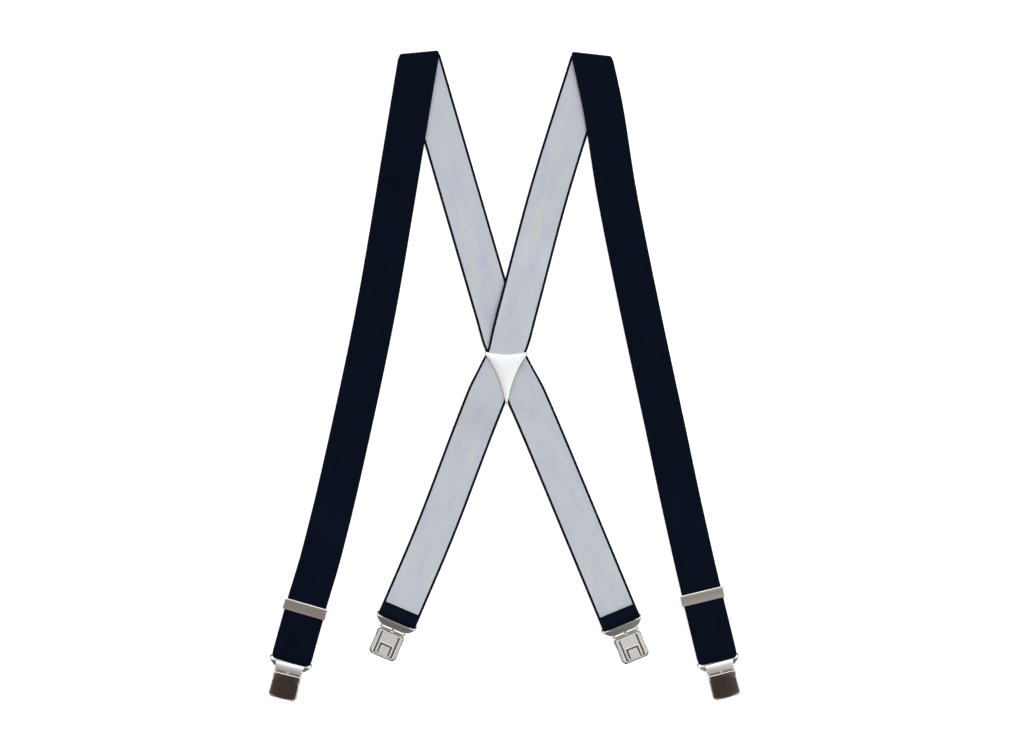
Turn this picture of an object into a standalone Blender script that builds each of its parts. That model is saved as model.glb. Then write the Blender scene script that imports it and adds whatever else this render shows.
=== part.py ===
"""Clip-on suspenders with a crossed back, laid out flat with the shoulder folds towards +Y.

Two elastic straps run from the front clips up to the shoulder folds, then down the back, where they cross
between the two plates of the crosspiece, and on to the rear clips. The fronts show the straps' outer
face and the backs show their inner face. The origin is under the middle of the crosspiece, on the table.

Lengths are in millimetres, and MM turns them into metres as each mesh is made. A place on a clip or a
slider is (across, along, height), where along runs down the strap towards the clip's tip.
"""

import math

import bmesh
import bpy
from mathutils import Matrix, Vector

MM = 0.001
GAP = 0.3

# The straps
STRAP_WIDTH = 35.0
STRAP_THICKNESS = 1.3
ON_TABLE = STRAP_THICKNESS / 2
LAYER = STRAP_THICKNESS + GAP
ROW_STEP = 7.0

# Plan routes of the straps' middle lines, from the shoulder fold to the bar of the clip's ring.
SHOULDER_LEFT = (-76.8, 275.3)
SHOULDER_RIGHT = (74.1, 273.8)
FRONT_ROUTES = {
    "left": [SHOULDER_LEFT, (-84.9, 226.6), (-96.5, 156.6), (-114.6, 51.6), (-136.5, -53.4),
             (-161.0, -158.4), (-176.0, -209.5), (-188.3, -253.8)],
    "right": [SHOULDER_RIGHT, (84.2, 226.6), (95.4, 156.6), (116.4, 51.6), (138.9, -53.4),
              (161.2, -158.4), (183.8, -252.9)],
}
BACK_ROUTES = {
    "left": [SHOULDER_LEFT, (-42.2, 156.6), (-11.0, 50.0), (-0.8, 15.0), (9.0, -6.0), (29.8, -53.4),
             (66.3, -140.9), (99.5, -220.8)],
    "right": [SHOULDER_RIGHT, (37.4, 156.6), (9.4, 51.6), (-0.6, 15.0), (-9.2, -3.0), (-29.4, -53.4),
              (-62.8, -140.9), (-95.7, -218.4)],
}

# The shoulder folds: the front half of a strap lies on its back half near the fold.
FOLD_RADIUS = 1.0
FOLD_OPEN_ANGLE = 64.0
FOLD_SLANT_LENGTH = 30.0
FRONT_AT_FOLD = ON_TABLE + 2 * FOLD_RADIUS
FOLD_OVERLAP = 95.0
FOLD_RAMP_END = 135.0

# The crosspiece: outer plate on the table, the left strap, the right strap, then the inner plate.
PLATE_THICKNESS = 0.9
LOWER_LAYER = PLATE_THICKNESS + GAP + STRAP_THICKNESS / 2
UPPER_LAYER = LOWER_LAYER + LAYER
INNER_PLATE_BOTTOM = UPPER_LAYER + STRAP_THICKNESS / 2 + GAP
RIVET_RADIUS = 0.4
PLATE_TIP_RADIUS = 0.95
SIDE_NOTCH_HALF_ANGLE = math.radians(65)
LOWER_NOTCH_HALF_ANGLE = math.radians(21)
PLATE_HOLLOW = 0.07
PINCH = 2.2
PINCH_REACH = 32.0

# The turns of the straps round the bars of the clip rings
TURN_RADIUS = 2.15
FRONT_BAR_HEIGHT = ON_TABLE + 0.05 + TURN_RADIUS
REAR_BAR_HEIGHT = 3.2
REAR_HEM_END = 10.2
FRONT_RUN_HEIGHT = FRONT_BAR_HEIGHT + TURN_RADIUS
RETURN_HEIGHT = FRONT_BAR_HEIGHT - TURN_RADIUS

# The length adjusters
SLIDER_TO_BAR = {"left": 46.2, "right": 56.2}
SLIDER_WIDTH = 39.0
SLIDER_LENGTH = 9.3
SLIDER_SHEET = 0.9
SLIDER_BAR_LENGTH = 3.0
SLIDER_BAR_THICKNESS = 0.8
HEM_RADIUS = 1.35
HEM_END = 10.5
SLIDE_UP = 40.0
RIGID_END_BELOW_SLIDER = 8.0
LIFT_LENGTH = 55.0

# The clips: places are measured from the bar of the ring, on which a clip can hang a little twisted.
CLIP_TWIST = {"front_left": 1.5, "front_right": 1.5, "rear_left": 0.0, "rear_right": 0.0}
RING_SHEET = 1.2
RING_BAR_HALF = 0.8
RING_HALF_WIDTH = 18.9
SLOT_HALF_WIDTH = 17.8
HINGE_ALONG = 10.6
HINGE_PIN_RADIUS = 0.7
CURL_RADIUS = 1.6
LEVER_PIN_ALONG = 15.6
LEVER_PIN_HEIGHT = 1.0
LEVER_PIN_RADIUS = 0.8
BASE_HALF_WIDTH = 12.2
BASE_TIP_HALF_WIDTH = 12.9
BASE_TOP = 12.7
BASE_TIP = 35.6
BASE_BACK = -2.6
BASE_SHEET = 0.7
FLANGE_INSIDE = 11.5
FLANGE_SHEET = 0.8
LEVER_NECK_HALF_WIDTH = 11.2
LEVER_HALF_WIDTH = 12.0
LEVER_TOP = 13.0
LEVER_TIP = 35.0
LEVER_TIP_ARCH = 1.9
LEVER_UNDERSIDE = 1.9
LEVER_SHEET = 0.9
PAD_FROM, PAD_TO = 16.6, 23.4

PLAN = Matrix(((1, 0, 0), (0, -1, 0), (0, 0, -1))).to_4x4()
SIDE = Matrix(((0, 0, -1), (-1, 0, 0), (0, 1, 0))).to_4x4()
SECTION = Matrix(((1, 0, 0), (0, 0, -1), (0, 1, 0))).to_4x4()
FLAT = Matrix.Identity(4)


# ---------------------------------------------------------------- scene and materials


def clear_scene():
    for old in list(bpy.data.objects):
        bpy.data.objects.remove(old, do_unlink=True)


def new_collection(name):
    made = bpy.data.collections.new(name)
    bpy.context.scene.collection.children.link(made)
    return made


def new_material(name, color, roughness, metallic=0.0):
    material = bpy.data.materials.new(name)
    material.use_nodes = True
    shader = material.node_tree.nodes["Principled BSDF"]
    shader.inputs["Base Color"].default_value = (*color, 1.0)
    shader.inputs["Roughness"].default_value = roughness
    shader.inputs["Metallic"].default_value = metallic
    material.diffuse_color = (*color, 1.0)
    return material


clear_scene()
PARTS = new_collection("suspenders")
CUTTERS = new_collection("cutters")
NAVY_WEBBING = new_material("navy_webbing", (0.006, 0.009, 0.022), 0.85)
GREY_WEBBING = new_material("grey_webbing", (0.50, 0.53, 0.60), 0.85)
NICKEL = new_material("nickel_plate", (0.62, 0.58, 0.54), 0.25, 1.0)
CHROME = new_material("bright_plate", (0.80, 0.80, 0.80), 0.12, 1.0)
STEEL_PIN = new_material("steel_pin", (0.45, 0.44, 0.43), 0.35, 1.0)
PLASTIC = new_material("grip_plastic", (0.02, 0.02, 0.022), 0.55)


# ---------------------------------------------------------------- making meshes and objects


def arc(centre, radius, start, end, steps):
    """Points on a circle from one angle to another, in degrees."""
    angles = [math.radians(start + (end - start) * i / steps) for i in range(steps + 1)]
    return [(centre[0] + radius * math.cos(a), centre[1] + radius * math.sin(a)) for a in angles]


def circle(centre, radius, steps=14):
    return arc(centre, radius, 0, 360, steps)[:-1]


def rectangle(x_low, x_high, y_low, y_high):
    return [(x_low, y_low), (x_high, y_low), (x_high, y_high), (x_low, y_high)]


def mirrored(half):
    """A closed outline from its right half, listed from one point near the middle line to the other."""
    return half + [(-x, y) for x, y in reversed(half)]


def outline_mesh(outlines, low, high, plane):
    """A plate with the first outline and holes of the others, from low to high across its plane."""
    curve = bpy.data.curves.new("outline", "CURVE")
    curve.dimensions = "2D"
    curve.fill_mode = "BOTH"
    curve.extrude = (high - low) / 2 * MM
    for points in outlines:
        spline = curve.splines.new("POLY")
        spline.points.add(len(points) - 1)
        for point, (x, y) in zip(spline.points, points):
            point.co = (x * MM, y * MM, 0.0, 1.0)
        spline.use_cyclic_u = True
    drawn = bpy.data.objects.new("outline", curve)
    bpy.context.scene.collection.objects.link(drawn)
    mesh = evaluated_mesh(drawn)
    weld(mesh)
    middle = (low + high) / 2 * MM
    across = plane.to_3x3() @ Vector((0, 0, 1))
    upwards = 1 if sum(across) > 0 else -1
    mesh.transform(Matrix.Translation(across * middle * upwards) @ plane)
    return mesh


def evaluated_mesh(obj):
    """The object's mesh as its modifiers leave it; the object itself is removed."""
    bpy.context.view_layer.update()
    graph = bpy.context.evaluated_depsgraph_get()
    mesh = bpy.data.meshes.new_from_object(obj.evaluated_get(graph))
    bpy.data.objects.remove(obj, do_unlink=True)
    return mesh


def weld(mesh):
    edited = bmesh.new()
    edited.from_mesh(mesh)
    bmesh.ops.remove_doubles(edited, verts=edited.verts, dist=1e-7)
    bmesh.ops.recalc_face_normals(edited, faces=edited.faces)
    edited.to_mesh(mesh)
    edited.free()


def combined(mesh, others, operation):
    """The mesh with each of the others joined to it or cut from it."""
    target = bpy.data.objects.new("target", mesh)
    bpy.context.scene.collection.objects.link(target)
    helpers = []
    for other in others:
        helper = bpy.data.objects.new("helper", other)
        CUTTERS.objects.link(helper)
        helper.hide_render = True
        helper.display_type = "WIRE"
        boolean = target.modifiers.new(operation.lower(), "BOOLEAN")
        boolean.operation = operation
        boolean.object = helper
        helpers.append(helper)
    result = evaluated_mesh(target)
    for helper in helpers:
        bpy.data.objects.remove(helper, do_unlink=True)
    return result


def ribbon_mesh(rows, thickness):
    """A strip through rows of two points, thickened equally to both sides."""
    strip = bmesh.new()
    bmesh.ops.create_grid(strip, x_segments=1, y_segments=len(rows) - 1, size=1.0)
    ordered = sorted(strip.verts, key=lambda v: (round(v.co.y, 5), v.co.x))
    for index, vertex in enumerate(ordered):
        vertex.co = rows[index // 2][index % 2] * MM
    mesh = bpy.data.meshes.new("ribbon")
    strip.to_mesh(mesh)
    strip.free()
    obj = bpy.data.objects.new("ribbon", mesh)
    bpy.context.scene.collection.objects.link(obj)
    solidify = obj.modifiers.new("thickness", "SOLIDIFY")
    solidify.thickness = thickness * MM
    solidify.offset = 0.0
    solidify.use_even_offset = True
    return evaluated_mesh(obj)


def path_mesh(path, half_width, thickness):
    """A ribbon across the strap, along a path of (along, height) points; half_width may be a function."""
    rows = []
    for along, height in path:
        half = half_width(along) if callable(half_width) else half_width
        rows.append((Vector((-half, -along, height)), Vector((half, -along, height))))
    return ribbon_mesh(rows, thickness)


def new_axis(name, parent, place, rotation=(0, 0, 0)):
    """An empty on a joint's axis, at (x, y, z) in its parent's frame."""
    empty = bpy.data.objects.new(name, None)
    empty.empty_display_size = 5 * MM
    empty.parent = parent
    empty.location = Vector(place) * MM
    empty.rotation_euler = rotation
    PARTS.objects.link(empty)
    return empty


def new_part(name, mesh, material, parent=None, shift=(0, 0, 0)):
    """An object of this mesh, moved back by its axis's place in the frame that the mesh was drawn in."""
    own = mesh.copy()
    own.name = name
    own.transform(Matrix.Translation(-Vector(shift) * MM))
    own.materials.clear()
    own.materials.append(material)
    own.set_sharp_from_angle(angle=math.radians(35))
    obj = bpy.data.objects.new(name, own)
    obj.parent = parent
    PARTS.objects.link(obj)
    return obj


# ---------------------------------------------------------------- strap routes


def smoothstep(share):
    share = min(max(share, 0.0), 1.0)
    return share * share * (3 - 2 * share)


class Route:
    """A smooth plan curve through a few points, walked by its length."""

    samples = 24

    def __init__(self, points):
        points = [Vector(p) for p in points]
        slopes = []
        for i in range(len(points)):
            before, after = points[max(i - 1, 0)], points[min(i + 1, len(points) - 1)]
            slopes.append((after - before).normalized())
        self.points = [points[0]]
        for i, (a, b) in enumerate(zip(points, points[1:])):
            reach = (b - a).length
            for step in range(1, self.samples + 1):
                t = step / self.samples
                self.points.append(
                    a * (2 * t**3 - 3 * t**2 + 1)
                    + slopes[i] * reach * (t**3 - 2 * t**2 + t)
                    + b * (3 * t**2 - 2 * t**3)
                    + slopes[i + 1] * reach * (t**3 - t**2)
                )
        self.distances = [0.0]
        for a, b in zip(self.points, self.points[1:]):
            self.distances.append(self.distances[-1] + (b - a).length)
        self.length = self.distances[-1]

    def place(self, distance):
        last = len(self.points) - 2
        i = 0
        while i < last and self.distances[i + 1] < distance:
            i += 1
        share = (distance - self.distances[i]) / (self.distances[i + 1] - self.distances[i])
        return self.points[i].lerp(self.points[i + 1], share)

    def along(self, distance):
        return (self.place(distance + 3.0) - self.place(distance - 3.0)).normalized()

    def across(self, distance):
        """The unit vector across the strap, towards +X."""
        along = self.along(distance)
        return Vector((-along.y, along.x))

    def half_width(self, distance):
        """Half the strap's width, which the crosspiece pinches in."""
        share = 1 - smoothstep(self.place(distance).length / PINCH_REACH)
        return STRAP_WIDTH / 2 - PINCH * share

    def edge(self, side):
        steps = [self.length * i / 300 for i in range(301)]
        return [self.place(d) + self.across(d) * side * self.half_width(d) for d in steps]

    def nearest(self, point):
        return min(zip(self.distances, self.points), key=lambda pair: (pair[1] - Vector(point)).length)[0]


def height_along(keys, distance):
    """The height between (distance, height) keys, eased from each to the next."""
    for (start, low), (end, high) in zip(keys, keys[1:]):
        if distance <= end:
            return low + (high - low) * smoothstep((distance - start) / (end - start))
    return keys[-1][1]


def crossing(first, second):
    """Where two lines of points cross."""
    for a, b in zip(first, first[1:]):
        for c, d in zip(second, second[1:]):
            r, s, gap = b - a, d - c, c - a
            turn = r.x * s.y - r.y * s.x
            if abs(turn) < 1e-12:
                continue
            t = (gap.x * s.y - gap.y * s.x) / turn
            u = (gap.x * r.y - gap.y * r.x) / turn
            if 0 <= t <= 1 and 0 <= u <= 1:
                return a + r * t
    raise ValueError("the lines don't cross")


class Fold:
    """The shoulder fold of one strap: a line in plan that mirrors its front run onto its back run."""

    def __init__(self, front, back):
        self.middle = front.points[0]
        self.beyond = -(front.along(3.0) + back.along(3.0)).normalized()
        self.line = Vector((self.beyond.y, -self.beyond.x))

    def slant(self, route):
        """How far the fold line runs along this strap for each unit across it."""
        return self.line.dot(route.along(3.0)) / self.line.dot(route.across(3.0))


def strap_rows(route, start, end, keys, fold=None):
    """Rows across the strap from start to end, which turn parallel to the fold line as they near it."""
    steps = math.ceil((end - start) / ROW_STEP)
    rows = []
    for i in range(steps + 1):
        distance = start + (end - start) * i / steps
        half = route.across(max(distance, 3.0)) * route.half_width(distance)
        if fold:
            share = 1 - smoothstep(distance / FOLD_SLANT_LENGTH)
            half = half + route.along(max(distance, 3.0)) * fold.slant(route) * share * STRAP_WIDTH / 2
        middle = route.place(distance)
        height = height_along(keys, distance)
        rows.append(tuple((middle + side * half).to_3d() + Vector((0, 0, height)) for side in (-1, 1)))
    return rows


def fold_rows(rows, fold, rise):
    """A quarter turn before the first row, towards the other half of the strap."""
    turned = []
    for step in (3, 2, 1):
        angle = math.radians(FOLD_OPEN_ANGLE * step / 3)
        shift = (fold.beyond * FOLD_RADIUS * math.sin(angle)).to_3d()
        shift.z = rise * FOLD_RADIUS * (1 - math.cos(angle))
        turned.append(tuple(point + shift for point in rows[0]))
    return turned + rows


def turn_path(start_height, end_height, steps=8):
    """A half turn round a bar at along 0, from one height to another."""
    radius = abs(end_height - start_height) / 2
    middle = (start_height + end_height) / 2
    rise = 1 if end_height > start_height else -1
    angles = [math.pi * i / steps for i in range(steps + 1)]
    return [(radius * math.sin(a), middle - rise * radius * math.cos(a)) for a in angles]


# ---------------------------------------------------------------- shapes of the crosspiece


def hollow_side(start, end, inwards, steps=8):
    """Points of a shallow arc from start to end that bows inwards, without its ends."""
    middle = (start + end) / 2
    depth = (end - start).length * PLATE_HOLLOW
    towards = (inwards - middle).normalized()
    points = []
    for i in range(1, steps):
        t = i / steps
        points.append(start.lerp(end, t) + towards * depth * 4 * t * (1 - t))
    return points


def corner_rivets(left, right):
    """The three places beside the crossed straps where the plates are riveted together."""
    clear = RIVET_RADIUS + GAP
    beside = clear / math.sin(SIDE_NOTCH_HALF_ANGLE)
    below = clear / math.sin(LOWER_NOTCH_HALF_ANGLE)
    return [
        crossing(left.edge(-1), right.edge(-1)) + Vector((-beside, 0)),
        crossing(left.edge(1), right.edge(1)) + Vector((beside, 0)),
        crossing(left.edge(-1), right.edge(1)) + Vector((0, -below)),
    ]


def triangle_outline(rivets):
    """A triangle with hollow sides and a round tip about each rivet."""
    left, right, lower = rivets
    middle = (left + right + lower) / 3
    ordered = [left, lower, right]
    outline = []
    for i, corner in enumerate(ordered):
        outwards = (corner - middle).angle_signed(Vector((1, 0)))
        facing = math.degrees(outwards)
        outline += arc(corner, PLATE_TIP_RADIUS, facing - 75, facing + 75, 5)
        start = Vector(outline[-1])
        after = ordered[(i + 1) % 3]
        facing = math.degrees((after - middle).angle_signed(Vector((1, 0))))
        end = Vector(arc(after, PLATE_TIP_RADIUS, facing - 75, facing - 75, 1)[0])
        outline += [tuple(p) for p in hollow_side(start, end, middle)]
    return outline


# ---------------------------------------------------------------- shapes of a slider


def slider_frame_mesh(front_height):
    """A band over the strap with a cheek down each side of it."""
    top = front_height + STRAP_THICKNESS / 2 + GAP + SLIDER_SHEET
    cheek_bottom = 1.2
    half = SLIDER_WIDTH / 2
    inside = half - SLIDER_SHEET
    section = mirrored([(inside, top - SLIDER_SHEET), (inside, cheek_bottom), (half, cheek_bottom), (half, top)])
    return outline_mesh([section], -SLIDER_LENGTH / 2, SLIDER_LENGTH / 2, SECTION)


def slider_bar_mesh(bar_height):
    half = SLIDER_WIDTH / 2 - SLIDER_SHEET - GAP
    outline = rectangle(-half, half, -SLIDER_BAR_LENGTH / 2, SLIDER_BAR_LENGTH / 2)
    low = bar_height - SLIDER_BAR_THICKNESS / 2
    return outline_mesh([outline], low, low + SLIDER_BAR_THICKNESS, FLAT)


def slider_hem_mesh(bar_height):
    """The strap's end, which comes up under the bar, turns round its upper edge and is sewn down below it."""
    bar_edge = -1.0
    turn = arc((bar_edge, bar_height), HEM_RADIUS, 270, 90, 8)
    sewn = RETURN_HEIGHT + LAYER
    flap = [(2.5, bar_height + HEM_RADIUS), (7.5, sewn), (HEM_END, sewn)]
    return path_mesh([(2.0, bar_height - HEM_RADIUS)] + turn + flap, STRAP_WIDTH / 2, STRAP_THICKNESS)


# ---------------------------------------------------------------- shapes of a clip


def ring_mesh():
    """A sheet with the strap's slot, whose two lower tabs curl round the hinge pin."""
    neck, notch = 10.4, 1.0
    half = [(RING_HALF_WIDTH, -RING_BAR_HALF), (RING_HALF_WIDTH, 4.2), (13.2, 8.4), (neck, 8.4),
            (neck, HINGE_ALONG), (notch, HINGE_ALONG), (notch, 8.6)]
    slot = rectangle(-SLOT_HALF_WIDTH, SLOT_HALF_WIDTH, RING_BAR_HALF, 3.4)
    sheet = outline_mesh([mirrored(half), slot], -RING_SHEET / 2, RING_SHEET / 2, PLAN)
    hinge = (HINGE_ALONG, 0.0)
    curls = [
        outline_mesh([circle(hinge, CURL_RADIUS)], low, low + neck - notch + 0.2, SIDE)
        for low in (notch - 0.1, -neck - 0.1)
    ]
    joined = combined(sheet, curls, "UNION")
    bore = outline_mesh([circle(hinge, HINGE_PIN_RADIUS + GAP)], -14.0, 14.0, SIDE)
    return combined(joined, [bore], "DIFFERENCE")


def bridge_mesh():
    """The bowed band over the front of the ring."""
    path = [(3.3, 1.3), (3.6, 2.05), (5.0, 2.45), (8.0, 2.35), (10.6, 2.15)]
    return path_mesh(path, lambda along: 12.8 - 0.21 * (along - path[0][0]), 0.7)


def base_mesh():
    """The back jaw: a floor with a lanced tongue, and a flange at each side that holds both pins."""
    chamfer = 2.9
    floor_outline = mirrored([
        (BASE_HALF_WIDTH, BASE_TOP),
        (BASE_TIP_HALF_WIDTH, BASE_TIP - chamfer),
        (BASE_TIP_HALF_WIDTH - chamfer, BASE_TIP),
    ])
    tongue_cut = mirrored([(5.3, 24.2), (5.3, 33.3), (4.5, 33.3), (4.5, 25.0)])
    floor = outline_mesh([floor_outline, tongue_cut], BASE_BACK, BASE_BACK + BASE_SHEET, PLAN)
    hinge = (HINGE_ALONG, 0.0)
    lever_pin = (LEVER_PIN_ALONG, LEVER_PIN_HEIGHT)
    flange = (
        [(13.4, BASE_BACK + 0.1), (19.0, BASE_BACK + 0.1), (18.6, -1.0)]
        + arc(lever_pin, 1.75, -30, 101, 5)
        + arc(hinge, 1.75, 101, 235, 6)
    )
    flanges = [
        outline_mesh([flange], low, low + FLANGE_SHEET, SIDE)
        for low in (FLANGE_INSIDE, -FLANGE_INSIDE - FLANGE_SHEET)
    ]
    joined = combined(floor, flanges, "UNION")
    holes = [
        outline_mesh([circle(hinge, HINGE_PIN_RADIUS + GAP)], -14.0, 14.0, SIDE),
        outline_mesh([circle(lever_pin, LEVER_PIN_RADIUS + GAP)], -14.0, 14.0, SIDE),
    ]
    return combined(joined, holes, "DIFFERENCE")


def lever_mesh():
    """The front jaw: a plate with an arched tip, two ears on the pin and a cam that presses on the pad."""
    steps = 8
    arch = []
    for i in range(steps + 1):
        side = 1 - i / steps
        arch.append((LEVER_HALF_WIDTH * side, LEVER_TIP - LEVER_TIP_ARCH * side**2))
    neck = [(LEVER_NECK_HALF_WIDTH, LEVER_TOP), (LEVER_NECK_HALF_WIDTH, 19.6), (LEVER_HALF_WIDTH, 20.4)]
    plate_outline = mirrored(neck + arch[:-1])
    plate_top = LEVER_UNDERSIDE + LEVER_SHEET
    plate = outline_mesh([plate_outline], LEVER_UNDERSIDE, plate_top, PLAN)
    pin = (LEVER_PIN_ALONG, LEVER_PIN_HEIGHT)
    ear = [(17.2, plate_top - 0.4), (14.0, plate_top - 0.4)] + arc(pin, 1.6, 180, 360, 6)
    ears = [outline_mesh([ear], low, low + 0.7, SIDE) for low in (10.2, -10.9)]
    cam = [(17.3, plate_top - 0.4), (17.6, -0.3), (18.9, -0.2), (19.6, plate_top - 0.4)]
    joined = combined(plate, ears + [outline_mesh([cam], -9.0, 9.0, SIDE)], "UNION")
    bore = outline_mesh([circle(pin, LEVER_PIN_RADIUS + GAP)], -14.0, 14.0, SIDE)
    return combined(joined, [bore], "DIFFERENCE")


def pin_mesh(place, radius):
    reach = FLANGE_INSIDE + FLANGE_SHEET + GAP
    return outline_mesh([circle(place, radius, 12)], -reach, reach, SIDE)


def grip_pad_mesh():
    low = BASE_BACK + BASE_SHEET + GAP
    return outline_mesh([rectangle(-8.0, 8.0, PAD_FROM, PAD_TO)], low, low + 1.0, PLAN)


# ---------------------------------------------------------------- assemblies


def make_crosspiece(left, right):
    rivets = corner_rivets(left, right)
    outline = triangle_outline(rivets)
    outer = outline_mesh([outline], 0.0, PLATE_THICKNESS, FLAT)
    inner = outline_mesh([outline], INNER_PLATE_BOTTOM, INNER_PLATE_BOTTOM + PLATE_THICKNESS, FLAT)
    new_part("crosspiece_outer_plate", outer, CHROME)
    new_part("crosspiece_inner_plate", inner, CHROME)
    for corner, place in zip(("left", "right", "lower"), rivets):
        shank = outline_mesh([circle(place, RIVET_RADIUS, 10)], PLATE_THICKNESS + GAP,
                             INNER_PLATE_BOTTOM - GAP, FLAT)
        new_part(f"crosspiece_{corner}_rivet", shank, CHROME)


def make_back_strap(side, route, fold):
    """The strap's back half. The left one passes under the right one at the crosspiece."""
    middle = route.nearest((0, 0))
    if side == "left":
        rise = [(-46, ON_TABLE), (-18, LOWER_LAYER), (24, LOWER_LAYER), (52, ON_TABLE)]
    else:
        rise = [(-120, ON_TABLE), (-84, ON_TABLE + LAYER + 0.15), (-28, UPPER_LAYER),
                (32, UPPER_LAYER), (68, ON_TABLE)]
    keys = [(0, ON_TABLE)] + [(middle + offset, height) for offset, height in rise]
    lower_layer = REAR_BAR_HEIGHT - TURN_RADIUS
    keys += [(route.length - 45, ON_TABLE), (route.length - 12, lower_layer)]
    rows = strap_rows(route, 0.0, route.length - GAP, keys, fold)
    mesh = ribbon_mesh(fold_rows(rows, fold, 1), STRAP_THICKNESS)
    new_part(f"{side}_back_strap", mesh, GREY_WEBBING)


def make_front_strap(side, route, fold):
    """The strap's front half, on an axis at the tip of the shoulder fold. Its last run bends when adjusted."""
    slider = route.length - SLIDER_TO_BAR[side]
    lifted = slider - SLIDE_UP - SLIDER_LENGTH
    keys = [(0, FRONT_AT_FOLD), (FOLD_OVERLAP, FRONT_AT_FOLD), (FOLD_RAMP_END, ON_TABLE),
            (lifted - LIFT_LENGTH, ON_TABLE), (lifted, FRONT_RUN_HEIGHT)]
    split = slider + RIGID_END_BELOW_SLIDER
    rows = fold_rows(strap_rows(route, 0.0, split, keys, fold), fold, -1)
    tip = FOLD_RADIUS + STRAP_THICKNESS / 2
    hinge = (fold.middle + fold.beyond * tip).to_3d() + Vector((0, 0, ON_TABLE + FOLD_RADIUS))
    axis = new_axis(f"{side}_shoulder_axis", None, hinge)
    new_part(f"{side}_front_strap", ribbon_mesh(rows, STRAP_THICKNESS), NAVY_WEBBING, axis, hinge)
    rows = strap_rows(route, split + GAP, route.length - GAP, keys)
    new_part(f"{side}_front_run", ribbon_mesh(rows, STRAP_THICKNESS), NAVY_WEBBING, axis, hinge)


def plan_rotation(along):
    return (0, 0, math.atan2(along.x, -along.y))


def make_slider(side, route):
    distance = route.length - SLIDER_TO_BAR[side]
    bar_height = RETURN_HEIGHT + HEM_RADIUS
    along = route.along(distance)
    axis = new_axis(f"{side}_slider_axis", None, route.place(distance).to_3d(), plan_rotation(along))
    new_part(f"{side}_slider_frame", slider_frame_mesh(FRONT_RUN_HEIGHT), NICKEL, axis)
    new_part(f"{side}_slider_bar", slider_bar_mesh(bar_height), NICKEL, axis)
    new_part(f"{side}_slider_hem", slider_hem_mesh(bar_height), NAVY_WEBBING, axis)
    rows = strap_rows(route, distance + 2.0 + GAP, route.length - GAP, [(0, RETURN_HEIGHT)] * 2)
    run = new_part(f"{side}_return_run", ribbon_mesh(rows, STRAP_THICKNESS), GREY_WEBBING)
    run.parent = axis
    run.matrix_parent_inverse = local_frame(axis).inverted()


def local_frame(axis):
    return Matrix.LocRotScale(axis.location, axis.rotation_euler, None)


def make_strap_turn(name, route, bar_height, hemmed):
    """The strap's half turn round the ring's bar; a rear one is hemmed on the strap's inner face."""
    middle = route.place(route.length)
    place = (middle.x, middle.y, bar_height)
    axis = new_axis(f"{name}_axis", None, place, plan_rotation(route.along(route.length - 4.0)))
    path = turn_path(-TURN_RADIUS, TURN_RADIUS)
    if hemmed:
        sewn = LAYER - TURN_RADIUS
        path += [(-2.5, TURN_RADIUS), (-7.0, sewn + 0.1), (-REAR_HEM_END, sewn + 0.05)]
    new_part(name, path_mesh(path, STRAP_WIDTH / 2, STRAP_THICKNESS), NAVY_WEBBING, axis)
    return axis


def make_clip(name, turn_axis, shapes, flipped):
    """A clip on its ring, with an axis for each of its three joints. A flipped one lies face down."""
    roll = math.pi if flipped else 0
    twist = math.radians(CLIP_TWIST[name])
    ring_axis = new_axis(f"{name}_ring_axis", turn_axis, (0, 0, 0), (0, roll, twist))
    hinge = (0, -HINGE_ALONG, 0)
    pin = (0, -LEVER_PIN_ALONG, LEVER_PIN_HEIGHT)
    base_axis = new_axis(f"{name}_base_axis", ring_axis, hinge)
    lever_axis = new_axis(f"{name}_lever_axis", base_axis, Vector(pin) - Vector(hinge))
    new_part(f"{name}_ring", shapes["ring"], NICKEL, ring_axis)
    new_part(f"{name}_bridge", shapes["bridge"], NICKEL, ring_axis)
    new_part(f"{name}_base", shapes["base"], NICKEL, base_axis, hinge)
    new_part(f"{name}_hinge_pin", shapes["hinge_pin"], STEEL_PIN, base_axis, hinge)
    new_part(f"{name}_lever_pin", shapes["lever_pin"], STEEL_PIN, base_axis, hinge)
    new_part(f"{name}_grip_pad", shapes["grip_pad"], PLASTIC, base_axis, hinge)
    new_part(f"{name}_lever", shapes["lever"], NICKEL, lever_axis, pin)


def main():
    fronts = {side: Route(points) for side, points in FRONT_ROUTES.items()}
    backs = {side: Route(points) for side, points in BACK_ROUTES.items()}
    clip_shapes = {
        "ring": ring_mesh(),
        "bridge": bridge_mesh(),
        "base": base_mesh(),
        "lever": lever_mesh(),
        "grip_pad": grip_pad_mesh(),
        "hinge_pin": pin_mesh((HINGE_ALONG, 0.0), HINGE_PIN_RADIUS),
        "lever_pin": pin_mesh((LEVER_PIN_ALONG, LEVER_PIN_HEIGHT), LEVER_PIN_RADIUS),
    }
    make_crosspiece(backs["left"], backs["right"])
    for side, other in (("left", "right"), ("right", "left")):
        fold = Fold(fronts[side], backs[side])
        make_back_strap(side, backs[side], fold)
        make_front_strap(side, fronts[side], fold)
        make_slider(side, fronts[side])
        front = make_strap_turn(f"front_{side}_turn", fronts[side], FRONT_BAR_HEIGHT, False)
        make_clip(f"front_{side}", front, clip_shapes, False)
        rear = make_strap_turn(f"rear_{other}_turn", backs[side], REAR_BAR_HEIGHT, True)
        make_clip(f"rear_{other}", rear, clip_shapes, True)
    for mesh in clip_shapes.values():
        bpy.data.meshes.remove(mesh)


main()
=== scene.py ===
"""The looks of clip-on suspenders with a crossed back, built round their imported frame.

Lengths are in millimetres here, and MM turns them into metres as each mesh is made. A strap is one ribbon
that is walked from the rear clip's hem over the shoulder fold to the front slider's hem, and is cut into
pieces where it bends as the object moves. A place on a clip is (across, along, height), with along running
down the strap towards the clip's tip.
"""

import math

import bmesh
import bpy
import numpy as np
from mathutils import Matrix, Vector


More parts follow.
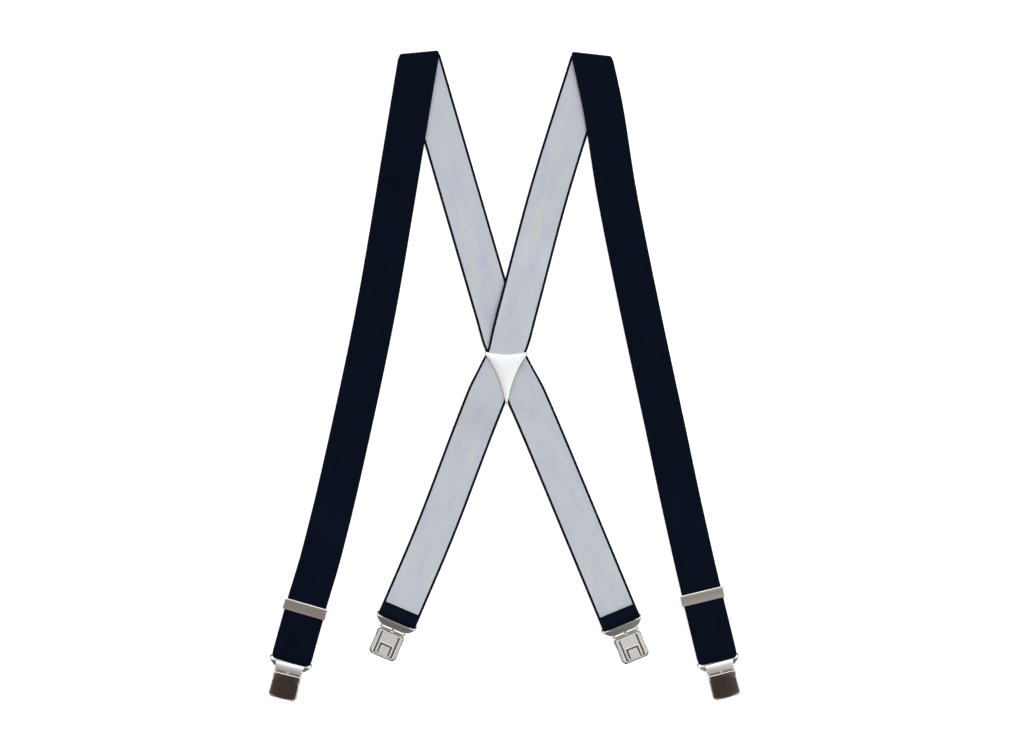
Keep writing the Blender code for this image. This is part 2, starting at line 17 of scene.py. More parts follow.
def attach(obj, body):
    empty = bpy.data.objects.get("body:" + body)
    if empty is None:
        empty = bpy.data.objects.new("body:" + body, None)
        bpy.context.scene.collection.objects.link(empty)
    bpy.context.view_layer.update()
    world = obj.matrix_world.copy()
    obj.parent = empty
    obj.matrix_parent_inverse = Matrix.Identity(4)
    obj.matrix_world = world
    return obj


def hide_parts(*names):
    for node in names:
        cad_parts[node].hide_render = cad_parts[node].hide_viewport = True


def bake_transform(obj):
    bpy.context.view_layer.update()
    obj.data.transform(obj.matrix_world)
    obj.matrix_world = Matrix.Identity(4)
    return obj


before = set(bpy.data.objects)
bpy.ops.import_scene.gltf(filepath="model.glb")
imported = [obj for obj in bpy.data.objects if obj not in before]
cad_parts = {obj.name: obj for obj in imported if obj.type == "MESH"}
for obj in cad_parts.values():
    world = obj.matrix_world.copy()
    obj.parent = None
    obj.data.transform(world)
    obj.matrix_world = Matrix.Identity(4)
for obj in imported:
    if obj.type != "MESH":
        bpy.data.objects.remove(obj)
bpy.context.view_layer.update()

MM = 0.001
SIDES = ("left", "right")
CLIPS = ("front_left", "front_right", "rear_left", "rear_right")

# The straps, as in the frame
STRAP_WIDTH = 35.0
STRAP_THICKNESS = 1.3
GAP = 0.3
ON_TABLE = STRAP_THICKNESS / 2
LAYER = STRAP_THICKNESS + GAP
SHOULDER_LEFT = (-76.8, 275.3)
SHOULDER_RIGHT = (74.1, 273.8)
FRONT_ROUTES = {
    "left": [SHOULDER_LEFT, (-84.9, 226.6), (-96.5, 156.6), (-114.6, 51.6), (-136.5, -53.4),
             (-161.0, -158.4), (-176.0, -209.5), (-188.3, -253.8)],
    "right": [SHOULDER_RIGHT, (84.2, 226.6), (95.4, 156.6), (116.4, 51.6), (138.9, -53.4),
              (161.2, -158.4), (183.8, -252.9)],
}
BACK_ROUTES = {
    "left": [SHOULDER_LEFT, (-42.2, 156.6), (-11.0, 50.0), (-0.8, 15.0), (9.0, -6.0), (29.8, -53.4),
             (66.3, -140.9), (99.5, -220.8)],
    "right": [SHOULDER_RIGHT, (37.4, 156.6), (9.4, 51.6), (-0.6, 15.0), (-9.2, -3.0), (-29.4, -53.4),
              (-62.8, -140.9), (-95.7, -218.4)],
}
FOLD_RADIUS = 1.0
FOLD_SLANT_LENGTH = 30.0
FRONT_AT_FOLD = ON_TABLE + 2 * FOLD_RADIUS
FOLD_OVERLAP = 95.0
FOLD_RAMP_END = 135.0
FOLD_TILT = {"left": math.radians(1.9), "right": math.radians(-3.9)}
FOLD_ROUND = 5.0
ROUND_SHARE = 0.045
FOLD_PIECE_ROWS = 5
PINCH = 2.2
PINCH_REACH = 32.0
PLATE_THICKNESS = 0.9
PLATE_TIP_RADIUS = 0.95
PLATE_HOLLOW = 0.07
RIVET_RADIUS = 0.4
CROWN = [(0.88, 0.30), (0.74, 0.58), (0.56, 0.80), (0.36, 0.94), (0.16, 1.0)]
LOWER_LAYER = PLATE_THICKNESS + GAP + STRAP_THICKNESS / 2
UPPER_LAYER = LOWER_LAYER + LAYER
INNER_PLATE_BOTTOM = UPPER_LAYER + STRAP_THICKNESS / 2 + GAP
TURN_RADIUS = 2.15
FRONT_BAR_HEIGHT = ON_TABLE + 0.05 + TURN_RADIUS
REAR_BAR_HEIGHT = 3.2
FRONT_RUN_HEIGHT = FRONT_BAR_HEIGHT + TURN_RADIUS
RETURN_HEIGHT = FRONT_BAR_HEIGHT - TURN_RADIUS
REAR_HEM_END = 10.2
SLIDER_TO_BAR = {"left": 46.2, "right": 56.2}
SLIDER_WIDTH = 39.0
SLIDER_LENGTH = 9.3
SLIDER_SHEET = 0.9
HEM_RADIUS = 1.35
HEM_END = 10.5
SLIDER_ROWS = [
    (-4.65, -0.2, 0.10), (-4.5, 0.15, 0.0), (-4.2, 0.35, 0.0), (-3.8, 0.35, 0.0), (-3.3, 0.1, 0.03),
    (-2.7, -0.05, 0.05), (-1.6, 0.0, 0.05), (-0.4, 0.05, 0.05), (0.8, 0.03, 0.05), (2.0, -0.08, 0.05),
    (3.0, -0.22, 0.04), (3.8, -0.36, 0.02), (4.35, -0.48, 0.02), (4.65, -0.55, 0.1),
]
SLIDE_UP = 40.0
LIFT_LENGTH = 55.0
END_REACH = 4.0
REAR_DRAWN_IN = 0.8
LOOP_DRAWN_IN = 3.4
LOOP_ROUNDING = 2.2
REAR_STITCHES = (-8.9, -7.4)
SLIDER_STITCHES = (8.2, 9.6)

# The clips, as in the frame
CLIP_TWIST = {"front_left": 1.5, "front_right": 1.5, "rear_left": 0.0, "rear_right": 0.0}
RING_HALF_WIDTH = 18.9
RING_BOW = 0.55
HINGE_ALONG = 10.6
LEVER_PIN_ALONG = 15.6
LEVER_PIN_HEIGHT = 1.0
BASE_BACK = -2.6
BASE_TOP = 12.7
BASE_HALF_WIDTH = 12.2
BASE_FLARE = 0.7
BASE_TIP = 35.6
LEVER_TIP = 35.0
LEVER_TIP_ARCH = 1.9

# The weave
RIB = 1.25
RIB_HEIGHT = 0.035
PICK = 1.1
WEAVE_BUMP = 0.09
FACE = STRAP_THICKNESS / 2 - RIB_HEIGHT
FLAT_HALF_WIDTH = 16.25
BORDER = 15.3
ROW_STEP = 3.5
STITCH = 2.3
STITCH_GAP = 0.7
STITCH_RISE = 0.1
STITCH_SUNK = 0.05
STITCH_HALF_WIDTH = 15.8
THREAD_RADII = [(0.0, 0.02), (0.04, 0.12), (0.15, 0.19), (0.5, 0.22), (0.85, 0.19), (0.96, 0.12), (1.0, 0.02)]

# The studio, in metres
FLOOR_SIZE = 400.0
FLOOR_DROP = 0.0002
BRIGHT_SIDE = (0.5, 0.87, 0.0)
SIDE_LIGHT = [(0.32, (0.34, 0.28, 0.25)), (0.5, (1.05, 1.00, 0.99)), (0.62, (1.75, 1.84, 1.88))]
OVERHEAD_LIGHT = (0.06, 0.048, 0.042)
CAMERA_LENS = 64.3
CAMERA_PLACE = (0.004375, -0.0074375, 1.6)


# ---- materials


class Nodes:
    """Short calls for building the node tree of a material or of the world."""

    def __init__(self, owner):
        owner.use_nodes = True
        self.owner = owner
        self.tree = owner.node_tree
        self.shader = self.tree.nodes.get("Principled BSDF")

    @classmethod
    def of_material(cls, name):
        return cls(bpy.data.materials.new(name))

    def new(self, kind, **settings):
        node = self.tree.nodes.new(kind)
        for name, value in settings.items():
            setattr(node, name, value)
        return node

    def link(self, source, target):
        self.tree.links.new(source, target)

    def math(self, operation, first, second=0.0, third=0.5):
        node = self.new("ShaderNodeMath", operation=operation)
        for socket, value in zip(node.inputs, (first, second, third)):
            if isinstance(value, (int, float)):
                socket.default_value = value
            else:
                self.link(value, socket)
        return node.outputs[0]

    def wave(self, value, pitch, shift):
        """A sine of this value with this pitch, from 0 to 1."""
        turned = self.math("ADD", self.math("MULTIPLY", value, 2 * math.pi / pitch), shift)
        return self.math("MULTIPLY_ADD", self.math("SINE", turned), 0.5, 0.5)

    def noise(self, vector, scale, detail):
        node = self.new("ShaderNodeTexNoise")
        node.inputs["Scale"].default_value = scale
        node.inputs["Detail"].default_value = detail
        self.link(vector, node.inputs["Vector"])
        return node.outputs["Fac"]

    def step(self, value, low, high):
        """0 below the low value, 1 above the high one, and even between them."""
        node = self.new("ShaderNodeMapRange")
        node.inputs["From Min"].default_value = low
        node.inputs["From Max"].default_value = high
        self.link(value, node.inputs["Value"])
        return node.outputs[0]

    def between(self, factor, low, high):
        """The value mapped from 0..1 to low..high."""
        node = self.new("ShaderNodeMapRange")
        node.inputs["To Min"].default_value = low
        node.inputs["To Max"].default_value = high
        self.link(factor, node.inputs["Value"])
        return node.outputs[0]

    def mixed(self, factor, first, second):
        node = self.new("ShaderNodeMix", data_type="RGBA")
        self.link(factor, node.inputs["Factor"])
        for socket, value in zip([s for s in node.inputs if s.type == "RGBA"], (first, second)):
            if isinstance(value, tuple):
                socket.default_value = (*value, 1.0)
            else:
                self.link(value, socket)
        return [s for s in node.outputs if s.type == "RGBA"][0]

    def ramp(self, value, stops):
        """A colour for each value, even between (position, colour) stops."""
        node = self.new("ShaderNodeValToRGB")
        elements = node.color_ramp.elements
        for element, (position, color) in zip(elements, (stops[0], stops[-1])):
            element.position = position
            element.color = (*color, 1)
        for position, color in stops[1:-1]:
            elements.new(position).color = (*color, 1)
        self.link(value, node.inputs[0])
        return node.outputs["Color"]

    def split(self, vector):
        node = self.new("ShaderNodeSeparateXYZ")
        self.link(vector, node.inputs[0])
        return node.outputs

    def stretched(self, vector, scale):
        node = self.new("ShaderNodeVectorMath", operation="MULTIPLY")
        self.link(vector, node.inputs[0])
        node.inputs[1].default_value = scale
        return node.outputs[0]

    def bump(self, height, distance):
        node = self.new("ShaderNodeBump")
        node.inputs["Distance"].default_value = distance
        node.inputs["Strength"].default_value = 1.0
        self.link(height, node.inputs["Height"])
        self.link(node.outputs["Normal"], self.shader.inputs["Normal"])

    def set(self, **values):
        for name, value in values.items():
            self.shader.inputs[name.replace("_", " ")].default_value = value


def weave_height(nodes, across, along):
    """Lengthwise ribs crossed by finer picks, which are shifted from each rib to the next."""
    ribs = nodes.wave(across, RIB * MM, math.pi / 2)
    shift = nodes.math("MULTIPLY", nodes.math("ROUND", nodes.math("DIVIDE", across, RIB * MM)), math.pi)
    return ribs, nodes.math("MULTIPLY", nodes.wave(along, PICK * MM, shift), ribs)


def times(color, share):
    return tuple(share * part for part in color)


def webbing_material(name, main, second, specular, border=None):
    """Woven elastic: its main colour with a second one in patches, painted shade in the grooves between the
    ribs, and navy past the border if it has one.
    """
    nodes = Nodes.of_material(name)
    vector = nodes.new("ShaderNodeAttribute", attribute_name="webbing").outputs["Vector"]
    across, along, _ = nodes.split(vector)
    ribs, raised = weave_height(nodes, across, along)
    patches = nodes.noise(nodes.stretched(vector, (90.0, 22.0, 1.0)), 1.0, 4.0)
    threads = nodes.noise(nodes.stretched(vector, (2600.0, 260.0, 1.0)), 1.0, 2.0)
    color = nodes.mixed(nodes.between(patches, -1.1, 1.9), main, second)
    color = nodes.mixed(nodes.between(threads, -0.15, 0.75), color, times(main, 0.80))
    # Painted shade: the grooves between the ribs are mixed towards a darker main colour
    color = nodes.mixed(nodes.between(ribs, 0.16, 0.0), color, times(main, 0.55))
    if border:
        beyond = nodes.math("GREATER_THAN", nodes.math("ABSOLUTE", across), BORDER * MM)
        color = nodes.mixed(beyond, color, border)
    nodes.link(color, nodes.shader.inputs["Base Color"])
    nodes.link(nodes.between(threads, 0.72, 0.9), nodes.shader.inputs["Roughness"])
    nodes.bump(nodes.math("ADD", raised, nodes.math("MULTIPLY", threads, 0.4)), WEAVE_BUMP * MM)
    nodes.set(Specular_IOR_Level=specular)
    return nodes.owner


def jaw_painted_shade(nodes, x, y, z):
    """Painted shade on the floor round the jaw's rails and panel, darker inside the rails."""
    below, above = nodes.step(z, -2.42 * MM, -2.24 * MM), nodes.step(z, -1.96 * MM, -2.06 * MM)
    deep = nodes.math("MULTIPLY", below, above)
    inside = nodes.step(nodes.math("ABSOLUTE", x), 11.4 * MM, 11.0 * MM)
    return nodes.math("MULTIPLY", deep, nodes.between(inside, 0.45, 0.95))


def hinge_painted_shade(nodes, x, y, z):
    """Painted shade on the hinge's knuckles, below the band."""
    return nodes.math("MULTIPLY", nodes.step(y, -9.8 * MM, -10.4 * MM), nodes.step(z, -0.4 * MM, 0.2 * MM))


def metal_material(name, color, tint, roughness, streak, bump, recess_shade=None):
    """Plated metal: soft streaks along one way, smudges, fine pits that only the bump shows, and painted
    shade in recesses where a mask is given.
    """
    nodes = Nodes.of_material(name)
    place = nodes.new("ShaderNodeAttribute", attribute_name="place").outputs["Vector"]
    streaks = nodes.noise(nodes.stretched(place, streak), 1.0, 3.0)
    smudges = nodes.noise(place, 160.0, 4.0)
    pits = nodes.noise(place, 5200.0, 2.0)
    base = nodes.mixed(nodes.between(smudges, -0.5, 1.3), color, tint)
    if recess_shade:
        # Painted shade: where the mask is set, the colour is mixed towards a dark brown
        base = nodes.mixed(recess_shade(nodes, *nodes.split(place)), base, RECESS_SHADE_COLOR)
    nodes.link(base, nodes.shader.inputs["Base Color"])
    both = nodes.math("MULTIPLY", nodes.math("ADD", streaks, smudges), 0.5)
    nodes.link(nodes.between(both, *roughness), nodes.shader.inputs["Roughness"])
    nodes.bump(nodes.math("ADD", streaks, nodes.math("MULTIPLY", pits, 0.25)), bump * MM)
    nodes.set(Metallic=1.0)
    return nodes.owner


def plastic_material(name, color):
    nodes = Nodes.of_material(name)
    place = nodes.new("ShaderNodeTexCoord").outputs["Object"]
    grain = nodes.noise(place, 2400.0, 3.0)
    nodes.link(nodes.mixed(grain, color, times(color, 1.8)), nodes.shader.inputs["Base Color"])
    nodes.link(nodes.between(grain, 0.45, 0.65), nodes.shader.inputs["Roughness"])
    nodes.bump(grain, 0.03 * MM)
    return nodes.owner


def thread_material(name, color):
    nodes = Nodes.of_material(name)
    place = nodes.new("ShaderNodeTexCoord").outputs["Object"]
    twist = nodes.noise(place, 4200.0, 2.0)
    nodes.link(nodes.mixed(twist, color, times(color, 2.2)), nodes.shader.inputs["Base Color"])
    nodes.bump(twist, 0.04 * MM)
    nodes.set(Roughness=0.6, Specular_IOR_Level=0.12)
    return nodes.owner


NAVY_COLOR = (0.0020, 0.0042, 0.0134)
NAVY = webbing_material("webbing_navy_face", NAVY_COLOR, (0.0027, 0.0054, 0.0162), 0.05)
GREY = webbing_material("webbing_grey_face", (0.665, 0.695, 0.72), (0.57, 0.59, 0.74), 0.1, NAVY_COLOR)
PLASTIC = plastic_material("black_plastic", (0.018, 0.018, 0.020))
THREAD = thread_material("navy_thread", (0.0022, 0.0034, 0.0085))

# The metals: colour and tint, roughness, the streaks' scale each way, and the bump in millimetres
# The dark brown of the painted shade in the metals' recesses
RECESS_SHADE_COLOR = (0.10, 0.072, 0.058)
ACROSS, LENGTHWISE, EVEN = (50.0, 900.0, 900.0), (900.0, 45.0, 45.0), (120.0, 120.0, 120.0)
NICKEL = metal_material(
    "nickel", (0.80, 0.76, 0.73), (0.72, 0.67, 0.63), (0.12, 0.30), ACROSS, 0.003)
LEVER_METAL = metal_material(
    "lever_nickel", (0.66, 0.60, 0.56), (0.54, 0.48, 0.45), (0.05, 0.22), LENGTHWISE, 0.004)
SATIN = metal_material(
    "satin_nickel", (0.93, 0.925, 0.905), (0.86, 0.85, 0.83), (0.48, 0.64), LENGTHWISE, 0.005, jaw_painted_shade)
RING_METAL = metal_material(
    "ring_nickel", (0.84, 0.83, 0.82), (0.76, 0.74, 0.72), (0.22, 0.36), ACROSS, 0.004, hinge_painted_shade)
BAND_METAL = metal_material(
    "band_nickel", (0.95, 0.905, 0.90), (0.88, 0.83, 0.825), (0.38, 0.50), ACROSS, 0.003)
BRUSHED = metal_material(
    "brushed_nickel", (0.84, 0.80, 0.77), (0.70, 0.65, 0.62), (0.26, 0.46), ACROSS, 0.002)
CHROME = metal_material(
    "chrome", (0.99, 0.99, 0.99), (0.97, 0.97, 0.98), (0.78, 0.84), EVEN, 0.002)
STEEL = metal_material(
    "steel", (0.45, 0.44, 0.43), (0.38, 0.37, 0.36), (0.25, 0.45), ACROSS, 0.004)


# ---- making meshes and pieces

PLAN = Matrix(((1, 0, 0), (0, -1, 0), (0, 0, -1))).to_4x4()
SIDE = Matrix(((0, 0, -1), (-1, 0, 0), (0, 1, 0))).to_4x4()
FLAT = Matrix.Identity(4)
WORLD = Matrix.Scale(MM, 4)
UP = Vector((0, 0, 1))


def arc(centre, radius, start, end, steps):
    """Points on a circle from one angle to another, in degrees."""
    angles = [math.radians(start + (end - start) * i / steps) for i in range(steps + 1)]
    return [(centre[0] + radius * math.cos(a), centre[1] + radius * math.sin(a)) for a in angles]


def circle(centre, radius, steps=32):
    return arc(centre, radius, 0, 360, steps)[:-1]


def mirrored(half):
    """A closed outline from its right half, listed from one point near the middle line to the other."""
    return half + [(-x, y) for x, y in reversed(half)]


def rounded(outline, radii, steps=5):
    """The outline with each corner cut by a smooth curve; radii is one number, or one for each corner."""
    made = []
    for i, corner in enumerate(outline):
        radius = radii[i] if isinstance(radii, list) else radii
        point = Vector(corner)
        before, after = Vector(outline[i - 1]) - point, Vector(outline[(i + 1) % len(outline)]) - point
        reach = min(radius, before.length * 0.49, after.length * 0.49)
        start, end = point + before.normalized() * reach, point + after.normalized() * reach
        for k in range(steps + 1):
            t = k / steps
            made.append(tuple((1 - t) ** 2 * start + 2 * t * (1 - t) * point + t * t * end))
    return made


def rectangle(half, top, bottom, radius):
    return rounded([(half, top), (half, bottom), (-half, bottom), (-half, top)], radius)


def shaded(mesh, sharp_angle):
    mesh.shade_smooth()
    mesh.set_sharp_from_angle(angle=math.radians(sharp_angle))
    return mesh


def applied(obj):
    """The object's mesh as its modifiers leave it, smooth with sharp corners; the object is removed."""
    bpy.context.view_layer.update()
    graph = bpy.context.evaluated_depsgraph_get()
    mesh = bpy.data.meshes.new_from_object(obj.evaluated_get(graph))
    bpy.data.objects.remove(obj, do_unlink=True)
    edited = bmesh.new()
    edited.from_mesh(mesh)
    bmesh.ops.remove_doubles(edited, verts=edited.verts, dist=1e-4)
    bmesh.ops.recalc_face_normals(edited, faces=edited.faces)
    edited.to_mesh(mesh)
    edited.free()
    return shaded(mesh, 38.0)


def plate(outlines, low, high, edge, plane=PLAN):
    """A plate with the first outline and holes of the others, from low to high, with its rims rounded."""
    curve = bpy.data.curves.new("plate", "CURVE")
    curve.dimensions = "2D"
    curve.fill_mode = "BOTH"
    curve.extrude = (high - low) / 2 - edge
    curve.bevel_depth = edge
    curve.bevel_resolution = 2
    curve.offset = -edge
    for points in outlines:
        spline = curve.splines.new("POLY")
        spline.points.add(len(points) - 1)
        for point, (x, y) in zip(spline.points, points):
            point.co = (x, y, 0.0, 1.0)
        spline.use_cyclic_u = True
    drawn = bpy.data.objects.new("plate", curve)
    bpy.context.scene.collection.objects.link(drawn)
    mesh = applied(drawn)
    across = plane.to_3x3() @ Vector((0, 0, 1))
    upwards = 1 if sum(across) > 0 else -1
    mesh.transform(Matrix.Translation(across * (low + high) / 2 * upwards) @ plane)
    return mesh


def grid_mesh(rows, closed=False):
    """Faces through rows of points; a closed grid joins each row's last point to its first."""
    across = len(rows[0])
    mesh = bpy.data.meshes.new("grid")
    faces = []
    for i in range(len(rows) - 1):
        for j in range(across if closed else across - 1):
            k = (j + 1) % across
            faces.append((i * across + j, i * across + k, (i + 1) * across + k, (i + 1) * across + j))
    mesh.from_pydata([tuple(p) for row in rows for p in row], [], faces)
    return mesh


def shell(rows, thickness, edge):
    """A sheet of this thickness through rows of points, with rounded rims."""
    obj = bpy.data.objects.new("shell", grid_mesh(rows))
    bpy.context.scene.collection.objects.link(obj)
    solidify = obj.modifiers.new("thickness", "SOLIDIFY")
    solidify.thickness = thickness
    solidify.offset = 0.0
    solidify.use_even_offset = True
    bevel = obj.modifiers.new("rims", "BEVEL")
    bevel.width = edge
    bevel.segments = 2
    bevel.limit_method = "ANGLE"
    bevel.angle_limit = math.radians(50)
    return applied(obj)


def capped(mesh, sides):
    """The mesh with its open ends of up to this many sides closed, and every face looking out."""
    edited = bmesh.new()
    edited.from_mesh(mesh)
    bmesh.ops.holes_fill(edited, edges=edited.edges, sides=sides)
    bmesh.ops.triangulate(edited, faces=[face for face in edited.faces if len(face.verts) > 4])
    bmesh.ops.recalc_face_normals(edited, faces=edited.faces)
    edited.to_mesh(mesh)
    edited.free()
    return mesh


def joined(meshes):
    made = bmesh.new()
    for mesh in meshes:
        made.from_mesh(mesh)
        bpy.data.meshes.remove(mesh)
    mesh = bpy.data.meshes.new("joined")
    made.to_mesh(mesh)
    made.free()
    return mesh


def new_object(name, mesh, materials):
    mesh.name = name
    mesh.materials.clear()
    for material in materials:
        mesh.materials.append(material)
    obj = bpy.data.objects.new(name, mesh)
    bpy.context.scene.collection.objects.link(obj)
    return obj


def new_metal(name, mesh, matrix, body, node, material):
    """A rigid piece that stands for one CAD node and rides on its body."""
    own = mesh.copy()
    places = np.empty(len(own.vertices) * 3, np.float32)
    own.vertices.foreach_get("co", places)
    own.attributes.new("place", "FLOAT_VECTOR", "POINT").data.foreach_set("vector", places * MM)
    own.transform(matrix)
    obj = new_object(name, own, [material])
    weighted = obj.modifiers.new("flat faces stay flat", "WEIGHTED_NORMAL")
    weighted.keep_sharp = True
    weighted.weight = 80
    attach(obj, body)
    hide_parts(node)
    return obj


# ---- strap routes


def sideways(along):
    """The unit vector across a strap that runs along, towards +X."""
    return Vector((-along.y, along.x))


def smoothstep(share):
    share = min(max(share, 0.0), 1.0)
    return share * share * (3 - 2 * share)


class Route:
    """A smooth plan curve through a few points, walked by its length."""

    samples = 24

    def __init__(self, points):
        points = [Vector(p) for p in points]
        slopes = []
        for i in range(len(points)):
            before, after = points[max(i - 1, 0)], points[min(i + 1, len(points) - 1)]
            slopes.append((after - before).normalized())
        self.points = [points[0]]
        for i, (a, b) in enumerate(zip(points, points[1:])):
            reach = (b - a).length
            for step in range(1, self.samples + 1):
                t = step / self.samples
                self.points.append(
                    a * (2 * t**3 - 3 * t**2 + 1)
                    + slopes[i] * reach * (t**3 - 2 * t**2 + t)
                    + b * (3 * t**2 - 2 * t**3)
                    + slopes[i + 1] * reach * (t**3 - t**2)
                )
        self.distances = [0.0]
        for a, b in zip(self.points, self.points[1:]):
            self.distances.append(self.distances[-1] + (b - a).length)
        self.length = self.distances[-1]

    def place(self, distance):
        last = len(self.points) - 2
        i = 0
        while i < last and self.distances[i + 1] < distance:
            i += 1
        share = (distance - self.distances[i]) / (self.distances[i + 1] - self.distances[i])
        return self.points[i].lerp(self.points[i + 1], share)

    def along(self, distance):
        return (self.place(distance + 3.0) - self.place(distance - 3.0)).normalized()

    def across(self, distance):
        return sideways(self.along(distance))

    def half_width(self, distance):
        """Half the strap's width, which the crosspiece pinches in."""
        share = 1 - smoothstep(self.place(distance).length / PINCH_REACH)
        return STRAP_WIDTH / 2 - PINCH * share

    def edge(self, side):
        steps = [self.length * i / 300 for i in range(301)]
        return [self.place(d) + self.across(d) * side * self.half_width(d) for d in steps]

    def nearest(self, point):
        return min(zip(self.distances, self.points), key=lambda pair: (pair[1] - Vector(point)).length)[0]


def height_along(keys, distance):
    """The height between (distance, height) keys, eased from each to the next."""
    for (start, low), (end, high) in zip(keys, keys[1:]):
        if distance <= end:
            return low + (high - low) * smoothstep((distance - start) / (end - start))
    return keys[-1][1]


def crossing(first, second):
    """Where two lines of points cross."""
    for a, b in zip(first, first[1:]):
        for c, d in zip(second, second[1:]):
            r, s, gap = b - a, d - c, c - a
            turn = r.x * s.y - r.y * s.x
            if abs(turn) < 1e-12:
                continue
            t = (gap.x * s.y - gap.y * s.x) / turn
            u = (gap.x * r.y - gap.y * r.x) / turn
            if 0 <= t <= 1 and 0 <= u <= 1:
                return a + r * t
    raise ValueError("the lines don't cross")


class Fold:
    """The shoulder fold of one strap: a line in plan that mirrors its front run onto its back run."""

    def __init__(self, front, back, tilt):
        self.middle = front.points[0]
        beyond = -(front.along(3.0) + back.along(3.0)).normalized()
        self.beyond = Matrix.Rotation(tilt, 2) @ beyond
        self.line = Vector((self.beyond.y, -self.beyond.x))

    def slant(self, route):
        """How far the fold line runs along this strap for each unit across it."""
        return self.line.dot(route.along(3.0)) / self.line.dot(route.across(3.0))


FRONTS = {side: Route(points) for side, points in FRONT_ROUTES.items()}
BACKS = {side: Route(points) for side, points in BACK_ROUTES.items()}
FOLDS = {side: Fold(FRONTS[side], BACKS[side], FOLD_TILT[side]) for side in SIDES}


# ---- the webbing


class Row:
    """One row across a strap: its middle, its half width as a vector, and how far along its ends lie."""

    def __init__(self, middle, half, slant=0.0):
        self.middle, self.half, self.slant = Vector(middle), Vector(half), slant
        self.along = 0.0
        self.normal = None


def back_keys(side, route):
    middle = route.nearest((0, 0))
    if side == "left":
        rise = [(-46, ON_TABLE), (-18, LOWER_LAYER), (24, LOWER_LAYER), (52, ON_TABLE)]
    else:
        rise = [(-120, ON_TABLE), (-84, ON_TABLE + LAYER + 0.15), (-28, UPPER_LAYER),
                (32, UPPER_LAYER), (68, ON_TABLE)]
    keys = [(0, ON_TABLE)] + [(middle + offset, height) for offset, height in rise]
    return keys + [(route.length - 45, ON_TABLE), (route.length - 12, REAR_BAR_HEIGHT - TURN_RADIUS)]


def front_keys(side, route):
    lifted = route.length - SLIDER_TO_BAR[side] - SLIDE_UP - SLIDER_LENGTH
    return [(0, FRONT_AT_FOLD), (FOLD_OVERLAP, FRONT_AT_FOLD), (FOLD_RAMP_END, ON_TABLE),
            (lifted - LIFT_LENGTH, ON_TABLE), (lifted, FRONT_RUN_HEIGHT)]


def route_rows(route, start, end, keys, fold, direction):
    """Rows from start to end of a route; near the fold they turn parallel to its line."""
    steps = math.ceil(abs(end - start) / ROW_STEP)
    distances = [start + (end - start) * i / steps for i in range(steps + 1)]
    if fold:
        next_to_fold = [distances[k] for k in (1, -2) if distances[k] < 2 * ROW_STEP]
        distances += [distance * share for distance in next_to_fold for share in (0.25, 0.5, 0.75)]
        distances.sort(reverse=end < start)
    rows = []
    for distance in distances:
        at = max(distance, 3.0)
        slant = rounding = 0.0
        if fold:
            slant = fold.slant(route) * (1 - smoothstep(distance / FOLD_SLANT_LENGTH))
            rounding = ROUND_SHARE * max(1 - distance / FOLD_ROUND, 0.0) ** 2
        across = route.across(at) + route.along(at) * slant
        half = across * route.half_width(distance) * (1 - rounding)
        middle = route.place(distance).to_3d()
        middle.z = height_along(keys, distance)
        rows.append(Row(middle, half.to_3d(), direction * slant))
    return rows


def fold_rows(fold, back_half, front_half):
    """The half turn at the shoulder, from the back half up to the front half; its rounded corners draw in."""
    rows = []
    steps = 12
    for i in range(1, steps):
        angle = math.pi * i / steps
        middle = (fold.middle + fold.beyond * FOLD_RADIUS * math.sin(angle)).to_3d()
        middle.z = ON_TABLE + FOLD_RADIUS - FOLD_RADIUS * math.cos(angle)
        rows.append(Row(middle, back_half.lerp(front_half, i / steps) * (1 - 0.05 * math.sin(angle) ** 2)))
    return rows


def section_rows(path, origin, along, drawn_in=0.0, before=0.0):
    """Rows across the strap at (along, height) places from an origin; the edges draw in round the bar."""
    rows = []
    for u, height in path:
        middle = (origin + along * u).to_3d()
        middle.z = height
        reach = max(u + before, 0.0) / (TURN_RADIUS + before)
        round_share = 1 - math.sqrt(max(1 - reach**2, 0.0))
        rows.append(Row(middle, (sideways(along) * (STRAP_WIDTH / 2 - drawn_in * round_share)).to_3d()))
    return rows


def finished_rows(rows):
    """The rows with their distance along the strap and the way that the navy face looks."""
    for before, row in zip(rows, rows[1:]):
        row.along = before.along + (row.middle - before.middle).length
    for i, row in enumerate(rows):
        ahead, behind = rows[min(i + 1, len(rows) - 1)], rows[max(i - 1, 0)]
        row.normal = (ahead.middle - behind.middle).cross(row.half).normalized()
    return rows


def profile():
    """The section of the webbing from edge to edge on the navy face and back on the grey one."""
    count = int(2 * FLAT_HALF_WIDTH / (RIB / 2)) + 1
    across = [-FLAT_HALF_WIDTH + RIB / 2 * i for i in range(count)]
    navy = [(x, FACE + RIB_HEIGHT * (1 if i % 2 else -1)) for i, x in enumerate(across)]
    reach = STRAP_WIDTH / 2 - FLAT_HALF_WIDTH
    edge = []
    for angle in (50, 22, 0, -22, -50):
        turn = math.radians(angle)
        edge.append((FLAT_HALF_WIDTH + reach * math.cos(turn), FACE * math.sin(turn)))
    grey = [(x, -z) for x, z in reversed(navy)]
    other = [(-x, -z) for x, z in edge]
    return navy + edge + grey + other, len(navy), len(edge)


PROFILE, NAVY_COUNT, EDGE_COUNT = profile()


